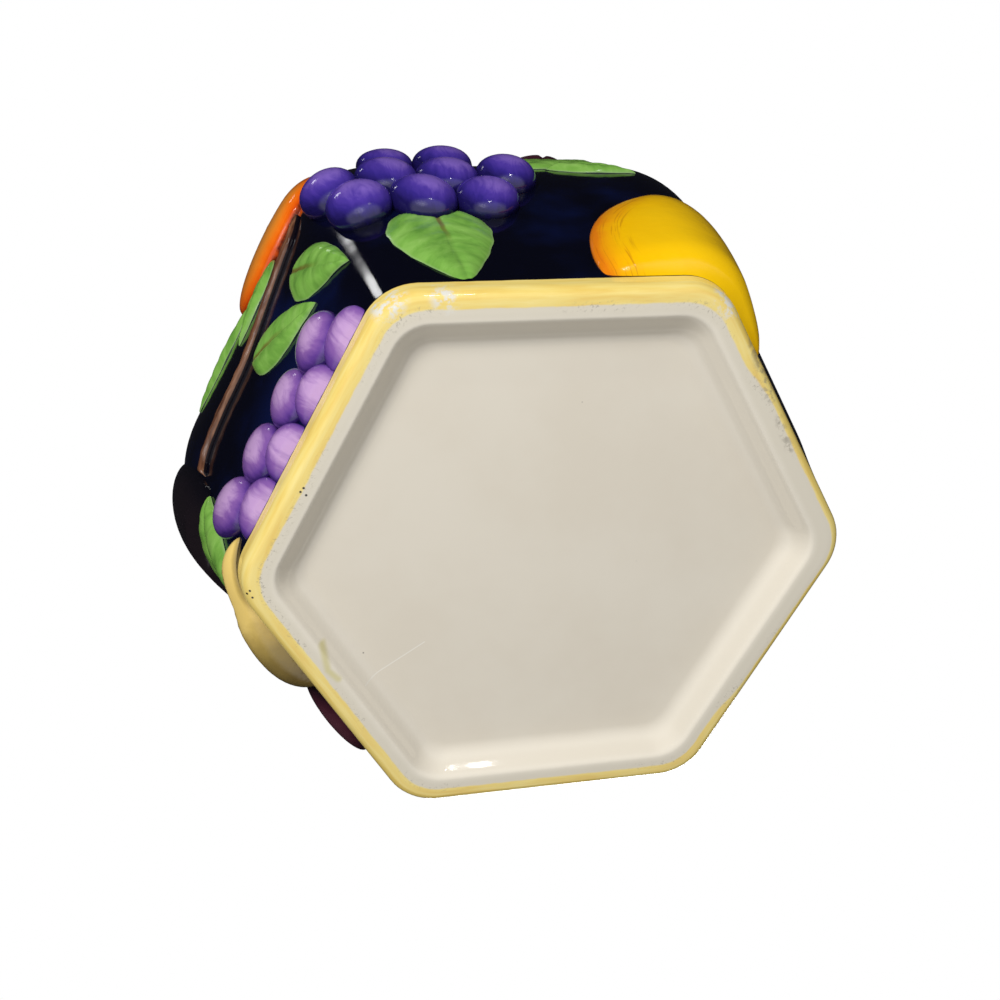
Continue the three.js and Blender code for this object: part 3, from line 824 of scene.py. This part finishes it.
def jar_profile():
    profile = Profile((0, RECESS_DEPTH))
    profile.add("panel", straight, [(PANEL_APOTHEM, RECESS_DEPTH)], 20)
    profile.add("cove", bezier, [(51.8, RECESS_DEPTH), (53.4, 0), (RING_APOTHEM, 0)], 16)
    profile.add("ring", straight, [(FOOT_APOTHEM, 0)], 4)
    profile.add("foot", bezier, [(61.2, 0.4), WALL_STOPS[0]], 9)
    profile.add("wall", smooth_curve, WALL_STOPS[1:], 92)
    profile.starts["band"] = wall.run_at(BAND_TOP)
    profile.add("rim", bezier, [(65.6, RIM_TOP - 0.4), (RIM_APOTHEM, RIM_TOP)], 9)
    mouth = [(MOUTH_APOTHEM, RIM_TOP), (MOUTH_APOTHEM, RIM_TOP - LIP_DROP)]
    profile.add("lip", bezier, [(60, RIM_TOP), *mouth], 9)
    profile.add("inside", straight, CAVITY_STOPS[:1], 8)
    profile.add("cavity", smooth_curve, CAVITY_STOPS[1:], 46)
    profile.add("floor", straight, [(0, FLOOR_TOP)], 8)
    return profile


def lid_profile():
    profile = Profile((0, 207))
    dome = [(24, 205.4), (38, 202), (46, 197), (PLUG_INSIDE, LID_BOTTOM)]
    profile.add("dome", smooth_curve, dome, 26)
    plug = [
        (PLUG_INSIDE, PLUG_BOTTOM), (PLUG_APOTHEM, PLUG_BOTTOM),
        (PLUG_APOTHEM, SEAL_LOW - SEAL_GAP), (GROOVE_APOTHEM, SEAL_LOW - SEAL_GAP),
        (GROOVE_APOTHEM, SEAL_HIGH + SEAL_GAP), (PLUG_APOTHEM, SEAL_HIGH + SEAL_GAP),
        (PLUG_APOTHEM, LID_BOTTOM), (LID_APOTHEM - 2, LID_BOTTOM),
    ]
    profile.add("plug", rounded, plug, PLUG_EASE)
    profile.add("edge", bezier, [(LID_APOTHEM, LID_BOTTOM), (LID_APOTHEM, LID_BOTTOM + LID_EDGE / 2)], 8)
    profile.add("brow", bezier, [(LID_APOTHEM, LID_BOTTOM + LID_EDGE), CROWN_STOPS[0]], 8)
    profile.add("crown", smooth_curve, CROWN_STOPS[1:], 40)
    profile.add("seat", straight, [(0, LID_CROWN)], 5)
    return profile


def knob_profile():
    waist = KNOB_FOOT + 5
    widest = (KNOB_RADIUS, waist + 10)
    profile = Profile((0, KNOB_FOOT))
    profile.add("foot", straight, [(KNOB_NECK + 2.2, KNOB_FOOT)], 5)
    profile.add("flare", bezier, [(KNOB_NECK, KNOB_FOOT + 1.5), (KNOB_NECK, waist)], 10)
    profile.add("ball", bezier, [(KNOB_NECK + 3, waist + 2), (KNOB_RADIUS, waist + 4), widest], 18)
    profile.add("top", bezier, [(KNOB_RADIUS, KNOB_TOP - 3), (KNOB_RADIUS / 2, KNOB_TOP), (0, KNOB_TOP)], 22)
    return profile


def seal_line():
    middle = (SEAL_LOW + SEAL_HIGH) / 2
    half = (SEAL_HIGH - SEAL_LOW) / 2
    back = GROOVE_APOTHEM + SEAL_GAP
    face = PLUG_APOTHEM + 0.4
    lip = MOUTH_APOTHEM - SEAL_GAP
    corners = [
        (back, middle), (back, middle - half), (face, middle - half), (lip, middle - half + 0.9),
        (face, middle - 0.2), (lip, middle + half - 1.3), (face, middle + half), (back, middle + half),
        (back, middle + 0.2),
    ]
    return rounded(corners, SEAL_EASE, 4)


BUNCHES = [(-0.25, 60), (-0.98, 14), (3.0, 87), (1.78, 49)]
bunch_places = [wall.points(turn, wall.run_at(z), 0.0) * MM for turn, z in BUNCHES]
jar = jar_profile()
jar_glaze = jar_paint(jar.starts, bunch_places)
jar_piece = add_piece("jar_body", loft(jar.points, hex_place, COLUMNS), jar_glaze)
lid = lid_profile()
add_piece("lid", loft(lid.points, hex_place, COLUMNS), lid_paint(lid.starts))
knob = knob_profile()
add_piece("lid_knob", loft(knob.points, round_place, KNOB_COLUMNS), knob_paint())
add_piece("lid_seal", loft(seal_line(), hex_place, COLUMNS, True), seal_paint())


# Relief forms

RIM_LIFT = 0.5
FULLNESS = 0.8
PINCH_AT = 0.42
PINCH_REACH = 0.3
TIP_POWER = 11


def columns_across(count):
    """Places from one rim to the other, closer together at the rims, with a sunk copy of each rim."""
    bend = np.linspace(-math.pi / 2, math.pi / 2, count)
    return np.concatenate([[-1.0], np.sin(bend), [1.0]]), np.concatenate([[0.0], np.cos(bend), [0.0]])


def egg(form, patch, size, seed, detail, rows=FRUIT_ROWS, wide=FRUIT_WIDE):
    """A plump fruit; a detail is added to its height and makes dents and seams."""
    half, height, rise = size["half"], size["height"], size["rise"]
    swell, square, pinch = size.get("swell", 0.0), size.get("square", 1.0), size.get("pinch", 0.0)
    turn_up = np.linspace(-math.pi / 2, math.pi / 2, rows)
    unit = np.sign(np.sin(turn_up)) * np.abs(np.sin(turn_up)) ** square
    y = height * unit
    reach = half * np.abs(np.cos(turn_up)) ** square * (1 - swell * unit)
    reach = reach * (1 - pinch * hump(unit - PINCH_AT, PINCH_REACH))
    tip = size.get("tip", 0.0)
    y = y + tip * (unit * np.abs(unit) ** TIP_POWER)
    across, full = columns_across(wide)
    x = np.outer(reach, across)
    tall = y[:, None]
    share = np.outer(np.cos(turn_up).clip(0), full)
    plump = np.outer(reach / reach.max(), full) ** size.get("bend", FULLNESS)
    lift = size.get("rim", RIM_LIFT) + rise * plump
    lift = lift + detail(x, tall, half, height) * smoothstep(share, 0.1, 0.5)
    turn, run = patch.onto(x, tall)
    relief(form, patch.skin, turn, run, lift, (x, tall), share, seed)
    return patch.outline(y, reach)


def hump(value, reach):
    """One at zero, and soon nothing past the reach."""
    return np.exp(-((value / reach) ** 2))


def plain(x, y, half, height):
    return 0 * x


DIMPLE_RING = 2.6


def navel(x, y, half, height):
    """The eye of an orange, a little above its middle: a pit in a low ring."""
    away = np.hypot(x - 0.12 * half, y - 0.3 * height)
    return 0.5 * hump(away - DIMPLE_RING, 0.9) - 1.2 * hump(away, 1.5)


def seam(x, y, half, height):
    """The crease down a plum."""
    bow = 0.22 * half * (1 - (y / height) ** 2)
    return -0.9 * hump(x - bow, 0.9)


def eye(x, y, half, height):
    """The dried flower at the fat end of a pear."""
    away = np.hypot(x, y + 0.72 * height)
    return 0.4 * hump(away - DIMPLE_RING, 0.8) - 1.1 * hump(away, 1.6)


DETAILS = {"lemon": plain, "orange": navel, "plum": seam, "pear": eye}


def lay_fruit(name, kind, skin, turn, z, spin, size, seed):
    form = Form()
    patch = Patch(skin, turn, z, spin)
    detail = size.get("detail", DETAILS[kind])
    laid[skin].append(egg(form, patch, size, seed, detail))
    add_piece(name, form, PAINTS[size.get("paint", kind)])


def lay_grapes(name, kind, turn, rows, size, seed):
    """A bunch: rows of grapes, each a plump form that runs into its neighbours."""
    form = Form()
    patches = []
    for z, offsets in rows.items():
        for offset in offsets:
            seed += 1
            sway = math.sin(seed * 2.4)
            patch = Patch(wall, turn + offset / wall.width(wall.run_at(z)), z, 9 * sway)
            half = size["half"] * (1 + 0.05 * math.cos(seed * 1.7))
            own = dict(size, half=half, rise=size["rise"] + 0.5 * sway)
            patches.append(egg(form, patch, own, seed, plain, GRAPE_ROWS, GRAPE_WIDE))
    laid[wall].extend(patches)
    add_piece(name, form, PAINTS[kind])


LEAF_RIM = 0.1
VEIN_PITCH = 5.4
VEIN_DEPTH, VEIN_REACH = 0.07, 0.55
RIB_DEPTH, RIB_REACH = 0.35, 0.7
PUFF_DEPTH = 0.05


def leaf_half(length, breadth, y):
    shoulders = [(-0.35 * breadth, 0.2 * length), (-0.85 * breadth, -0.3 * length)]
    left = bezier([(0, length / 2), *shoulders, (0, -length / 2)], OUTLINE_POINTS)
    return np.interp(y, left[::-1, 1], -left[::-1, 0])


def veins(x, y, length):
    """Grooves of the rib and of the side veins that leave it towards the tip."""
    rib = RIB_DEPTH * hump(x, RIB_REACH)
    start = (y - VEIN_SLANT * np.abs(x) + 0.36 * length) / VEIN_PITCH
    apart = np.abs(start - np.round(start)) * VEIN_PITCH * 0.8
    side = VEIN_DEPTH * hump(apart, VEIN_REACH) * smoothstep(np.abs(x), 0.3, 1.2)
    puff = PUFF_DEPTH * np.cos(2 * math.pi * start)
    return rib + side + puff


def lay_leaf(name, skin, turn, z, spin, length, breadth, rise, seed):
    form = Form()
    patch = Patch(skin, turn, z, spin)
    turn_up = np.linspace(-math.pi / 2, math.pi / 2, LEAF_ROWS)
    y = length / 2 * np.sin(turn_up)
    half = leaf_half(length, breadth, y) * (1 + 0.012 * np.sin(y * 0.9 + seed))
    across, full = columns_across(LEAF_WIDE)
    x = np.outer(half, across)
    x = x + 0.05 * breadth * np.sin(2.2 * y / length + seed)[:, None] * np.cos(turn_up)[:, None]
    tall = y[:, None]
    ends = np.sqrt(np.cos(turn_up).clip(0))[:, None]
    swell = 0.6 + 0.4 * np.minimum(np.abs(x) / (0.3 * breadth), 1)
    body = (1 - np.abs(across) ** 3)[None, :] * ends
    curl = 0.15 * np.sin(0.35 * tall + 1.7 * seed) * np.abs(across)[None, :] * ends
    lift = LEAF_RIM + rise * body * swell + curl.clip(0) - veins(x, tall, length) * body**0.5
    where, run = patch.onto(x, tall)
    share = np.outer(np.cos(turn_up).clip(0) ** 0.6, full)
    relief(form, skin, where, run, lift, (x, tall), share, seed)
    laid[skin].append(patch.outline(y, half))
    add_piece(name, form, PAINTS["leaf"])


VINE_HALF = 1.15
VINE_RISE = 1.4
VINE_MIDDLE = 60


def lay_vine(name, stops, seed):
    """A woody stem along the wall through (turn, z) stops, with knots along it."""
    form = Form()
    route = np.array([(turn, wall.run_at(z)) for turn, z in stops])
    scale = wall.width(wall.run_at(VINE_MIDDLE))
    line = smooth_curve(route * [scale, 1], VINE_ROWS)
    ahead = np.gradient(line, axis=0)
    ahead = ahead / np.linalg.norm(ahead, axis=1)[:, None]
    along = arc_lengths(line)
    share = np.linspace(-1, 1, len(line))
    taper = np.sqrt((1 - share**8).clip(0)) * (1 + 0.08 * np.sin(along * 0.55 + seed) ** 4)
    across, full = columns_across(VINE_WIDE)
    x = np.outer(VINE_HALF * taper, across)
    turn = (line[:, :1] - x * ahead[:, 1:]) / scale
    run = line[:, 1:] + x * ahead[:, :1]
    ridges = 0.12 * np.sin(5.5 * across)[None, :] * np.sin(along * 0.3)[:, None]
    lift = RIM_LIFT + (VINE_RISE + ridges) * full[None, :] * taper[:, None]
    relief(form, wall, turn, run, lift, (x, along[:, None]), np.outer(taper, full), seed)
    add_piece(name, form, PAINTS["vine"])


# Layout on the wall. This leaf and this bunch lie over the neck of the pear beside them. A bunch has the
# offsets of each row's grapes along the wall, by the row's height.
LEAF_RISE = 2.2
FULL_GRAPE = dict(half=7.8, height=9.6, rise=5.6)
SLIM_GRAPE = dict(half=7.2, height=8.6, rise=3.5)
lay_leaf("leaf_left_corner", wall, -1.56, 26, -50, 34, 27, LEAF_RISE + 1.2, 17.0)
lay_grapes("grapes_left", "grape", -1, {6: [22, 9, -5, -19], 18: [17, 3.2, -10.8, -25]}, SLIM_GRAPE, 40)

# Fruit: (name, turn, z, spin, size); a name starts with its kind. The corner's plum rises slowly.
CORNER_PLUM = dict(
    half=19, height=40, swell=0.15, rise=6, rim=-0.6, bend=1.25, paint="plum_dark", detail=plain
)
LEFT_PEAR = dict(half=10, height=21.5, swell=0.7, pinch=0.2, rise=6.6, rim=0.3, bend=1.0, detail=plain)
FRONT_LEMON = dict(half=24.6, height=31, square=0.9, rise=4.7, rim=0.1, bend=1.1)
LEFT_PLUM = dict(half=12, height=10.5, rise=3.4, rim=0.2, detail=plain)
FRUIT = [
    ("lemon_front", 0.48, 20, 0, FRONT_LEMON),
    ("orange_left", -0.76, 104, 0, dict(half=23, height=22, rise=5.2)),
    ("pear_left", -1.69, 11.5, -95, LEFT_PEAR),
    ("plum_left", -2.15, 14, 0, LEFT_PLUM),
    ("lemon_left", -1.86, 96, 15, dict(half=20, height=24.5, rise=8.2, tip=2.2)),
    ("plum_corner", -1.61, 54, 0, CORNER_PLUM),
    ("orange_back", 3.2, 46, 0, dict(half=20, height=20, rise=7.7)),
    ("pear_back", 2.6, 54, 8, dict(half=17, height=29, swell=0.28, rise=8.6, pinch=0.16)),
    ("lemon_right", 2.02, 104, -12, dict(half=20, height=24, rise=8.2, tip=2.2)),
    ("plum_right", 2.24, 38, 0, dict(half=11, height=12.5, rise=6)),
    ("orange_right", 0.98, 110, 0, dict(half=19, height=19, rise=7.7)),
]
for index, (name, turn, z, spin, size) in enumerate(FRUIT):
    lay_fruit(name, name.split("_")[0], wall, turn, z, spin, size, index + 1.0)

# The other bunches.
# The front bunch takes the darker, bluer copy of the grape paint: painted shade on its undersides.
lay_grapes("grapes_front", "grape_shaded", 0, {
    47: [-38, -23, -7.5], 62: [-45, -30.5, -15.5, -0.5], 77: [-30, -15],
}, FULL_GRAPE, 20)
lay_grapes("grapes_back", "grape", 3, {
    72: [-6, 8.5], 87: [-13, 1.5, 16], 102: [-6, 8.5],
}, FULL_GRAPE, 60)
lay_grapes("grapes_right", "grape", 2, {
    36: [-22, -9], 48.5: [-28.5, -15.5, -2.5], 61: [-22, -9],
}, SLIM_GRAPE, 80)

# Leaves: (name, turn, z, spin, length, breadth); spin turns the tip anticlockwise from straight up.
LEAVES = [
    ("leaf_front_low", -0.255, 25, 181, 43, 25.5),
    ("leaf_front_corner", -0.645, 40.5, 209, 31, 15.5),
    ("leaf_left_low", -0.865, 41, 231, 31, 15.5),
    ("leaf_left_stem", -0.9, 75, 118, 26, 11),
    ("leaf_left_high", -1.13, 88, 96, 34, 13),
    ("leaf_front_high", 0.2, 92, -50, 38, 20),
    ("leaf_front_side", 0.26, 78, -120, 30, 15),
    ("leaf_left_back", -2.1, 54, 60, 36, 18),
    ("leaf_back_left", -2.42, 86, 150, 34, 17),
    ("leaf_back_low", 2.87, 32, 184, 34, 20),
    ("leaf_back_side", 2.62, 98, 40, 34, 16),
    ("leaf_right_back", 2.26, 62, -40, 32, 16),
    ("leaf_right_corner", 1.7, 84, 30, 36, 17),
    ("leaf_right_low", 0.64, 98, 70, 34, 17),
    ("leaf_right_high", 1.38, 114, -35, 34, 16),
]
for index, (name, turn, z, spin, length, breadth) in enumerate(LEAVES):
    lay_leaf(name, wall, turn, z, spin, length, breadth, LEAF_RISE, index + 1.0)

# A wreath of plums and leaves under the shoulder.
SHOULDER_PLUM = dict(half=9.5, height=10.5, rise=5.5)
for side in range(SIDES):
    lay_fruit(f"plum_shoulder_{side}", "plum", wall, side + 0.27, 143, 0, SHOULDER_PLUM, side + 30.0)
    lay_leaf(f"leaf_shoulder_{side}", wall, side - 0.1, 141, 80, 40, 19, LEAF_RISE, side + 50.0)

# Stems behind the fruit, as (turn, z) stops.
VINES = {
    "vine_left": [
        (-0.62, 76), (-0.67, 69), (-0.85, 61), (-1.01, 55),
        (-1.2, 53.5), (-1.32, 51), (-1.39, 45.5), (-1.45, 38.5),
    ],
    "vine_back": [(-1.72, 58), (-1.95, 66), (-2.2, 62), (-2.45, 64)],
    "vine_right": [(0.72, 90), (0.95, 88), (1.2, 94), (1.42, 102)],
    "vine_side": [(1.74, 70), (1.9, 75), (2.1, 76), (2.34, 80)],
}
for index, (name, stops) in enumerate(VINES.items()):
    lay_vine(name, stops, index + 1.0)

# The lid repeats the fruit in small.
LID_FRUIT = dict(half=11.5, height=11.5, rise=5.6)
LID_LEAF_RISE = 1.8
for index, kind in enumerate(["lemon", "orange", "plum"]):
    lay_fruit("lid_" + kind, kind, crown, 2 * index, 206, 0, LID_FRUIT, index + 70.0)
    for mark, sign in (("a", 1), ("b", -1)):
        name = f"lid_leaf_{index}_{mark}"
        seed = index + 80.0 + sign
        lay_leaf(name, crown, 2 * index + 0.72 * sign, 205.6, -105 * sign, 28, 14, LID_LEAF_RISE, seed)


# Studio: lengths in metres from here on

CAMERA_PLACE = Vector((-0.04416, -0.08833, -0.18966))
CAMERA_RIGHT = Vector((0.9861, 0.0039, -0.1661))
CAMERA_UP = Vector((0.062, -0.9362, 0.346))
CAMERA_AHEAD = Vector((0.1542, 0.3515, 0.9234))
CAMERA_LENS = 34.2
CAMERA_SENSOR = 36.0
CAMERA_NEAR = 0.01
WORLD_LIGHT = 0.34
FLOOR_GREY = (0.9, 0.9, 0.9, 1)
FLOOR_GLOW = 0.45
HOOD_DARK = (0.02, 0.02, 0.025, 1)
MATT = 0.9
WHITE = (1, 1, 1, 1)


def add_camera():
    data = bpy.data.cameras.new("camera")
    data.lens = CAMERA_LENS
    data.sensor_width = CAMERA_SENSOR
    data.clip_start = CAMERA_NEAR
    camera = add_object("camera", data)
    axes = Matrix((CAMERA_RIGHT, CAMERA_UP, -CAMERA_AHEAD)).transposed()
    camera.matrix_world = Matrix.Translation(CAMERA_PLACE) @ axes.to_4x4()
    bpy.context.scene.camera = camera


def add_lamp(name, place, target, size, watts):
    data = bpy.data.lights.new(name, "AREA")
    data.shape = "ELLIPSE"
    data.size, data.size_y = size
    data.energy = watts
    lamp = add_object(name, data)
    lamp.location = place
    lamp.rotation_euler = (Vector(target) - Vector(place)).to_track_quat("-Z", "Y").to_euler()
    return lamp


def keep_off(lamp, piece):
    """Keeps a lamp's light off one piece."""
    group = bpy.data.collections.new(lamp.name + "_off")
    group.objects.link(piece)
    group.collection_objects[0].light_linking.link_state = "EXCLUDE"
    lamp.light_linking.receiver_collection = group


def add_stage(name, points, faces, material, seen_by):
    """A stage piece that only the named kind of ray sees; it casts no shadow."""
    mesh = bpy.data.meshes.new(name)
    mesh.from_pydata(points, [], faces)
    mesh.materials.append(material)
    piece = add_object(name, mesh)
    piece.visible_camera = seen_by == "camera"
    piece.visible_glossy = seen_by == "glossy"
    piece.visible_diffuse = False
    piece.visible_transmission = False
    piece.visible_shadow = False


def add_floor(half, z):
    """A pale floor with a glow of its own, which only the camera sees."""
    corners = [(-half, -half, z), (half, -half, z), (half, half, z), (-half, half, z)]
    material = one_sided("floor_paint", FLOOR_GREY, glow=FLOOR_GLOW)
    add_stage("floor", corners, [(0, 1, 2, 3)], material, "camera")


def add_hood(radius, low, high, sides=48):
    """A dark hood, open below, that the glaze reflects; it clears towards its lower edge."""
    angles = [2 * math.pi * i / sides for i in range(sides)]
    points = [(radius * math.cos(a), radius * math.sin(a), z) for z in (low, high) for a in angles]
    faces = [(i, i + sides, (i + 1) % sides + sides, (i + 1) % sides) for i in range(sides)]
    faces.append(tuple(range(2 * sides - 1, sides - 1, -1)))
    material = one_sided("hood_paint", HOOD_DARK, (low, low / 3))
    add_stage("hood", points, faces, material, "glossy")


def one_sided(name, colour, fade=None, glow=0.0):
    """Matt paint that is clear from behind, and clears from the upper to the lower height of a fade."""
    paint = Paint(name)
    paint.shade({"Base Color": colour, "Roughness": MATT, "Specular IOR Level": 0.0})
    paint.shade({"Emission Color": WHITE, "Emission Strength": glow})
    clear = paint.node("ShaderNodeBsdfTransparent", {})
    share = paint.node("ShaderNodeNewGeometry", {}).outputs["Backfacing"]
    if fade:
        share = paint.most(share, paint.step(paint.axis("Z"), fade[1], fade[0]))
    both = paint.node("ShaderNodeMixShader", {0: share, 1: paint.shader.outputs[0], 2: clear.outputs[0]})
    paint.feed(paint.tree.nodes["Material Output"].inputs["Surface"], both.outputs[0])
    return paint.material


def add_world():
    world = bpy.data.worlds.new("studio")
    nodes = Nodes(world)
    light = nodes.tree.nodes["Background"]
    light.inputs["Color"].default_value = WHITE
    light.inputs["Strength"].default_value = WORLD_LIGHT
    white = nodes.node("ShaderNodeBackground", {"Color": WHITE, "Strength": 1.0})
    rays = nodes.node("ShaderNodeLightPath", {}).outputs
    seen = rays["Is Camera Ray"]
    for name in ("Is Glossy Ray", "Is Transmission Ray"):
        seen = nodes.most(seen, rays[name])
    both = nodes.node("ShaderNodeMixShader", {0: seen, 1: light.outputs[0], 2: white.outputs[0]})
    nodes.feed(nodes.tree.nodes["World Output"].inputs["Surface"], both.outputs[0])
    bpy.context.scene.world = world


add_camera()
add_world()
add_floor(half=30.0, z=-0.0002)
add_hood(radius=2.0, low=-1.5, high=1.2)
add_lamp("lamp_above", (-0.4355, -0.5185, 0.6633), (0, 0, 0.1), (0.12, 0.03), 0.07)
below = ((-0.248, -0.403, -0.403), (0, 0, 0), (0.31, 0.31), 3.06)
add_lamp("lamp_below", *below).visible_glossy = False
gleam = add_lamp("lamp_gleam", *below)
gleam.visible_diffuse = False
keep_off(gleam, jar_piece)
add_lamp("lamp_front_a", (0.028, -0.657, -0.235), (0, 0, 0), (0.014, 0.05), 0.1)
add_lamp("lamp_front_b", (0.068, -0.654, -0.234), (0, 0, 0), (0.014, 0.05), 0.08)
add_lamp("lamp_back", (0.3, 0.85, 0.8), (0, 0, 0.12), (0.6, 0.6), 9.0)

bpy.context.scene.view_settings.view_transform = "Standard"

bpy.context.view_layer.update()
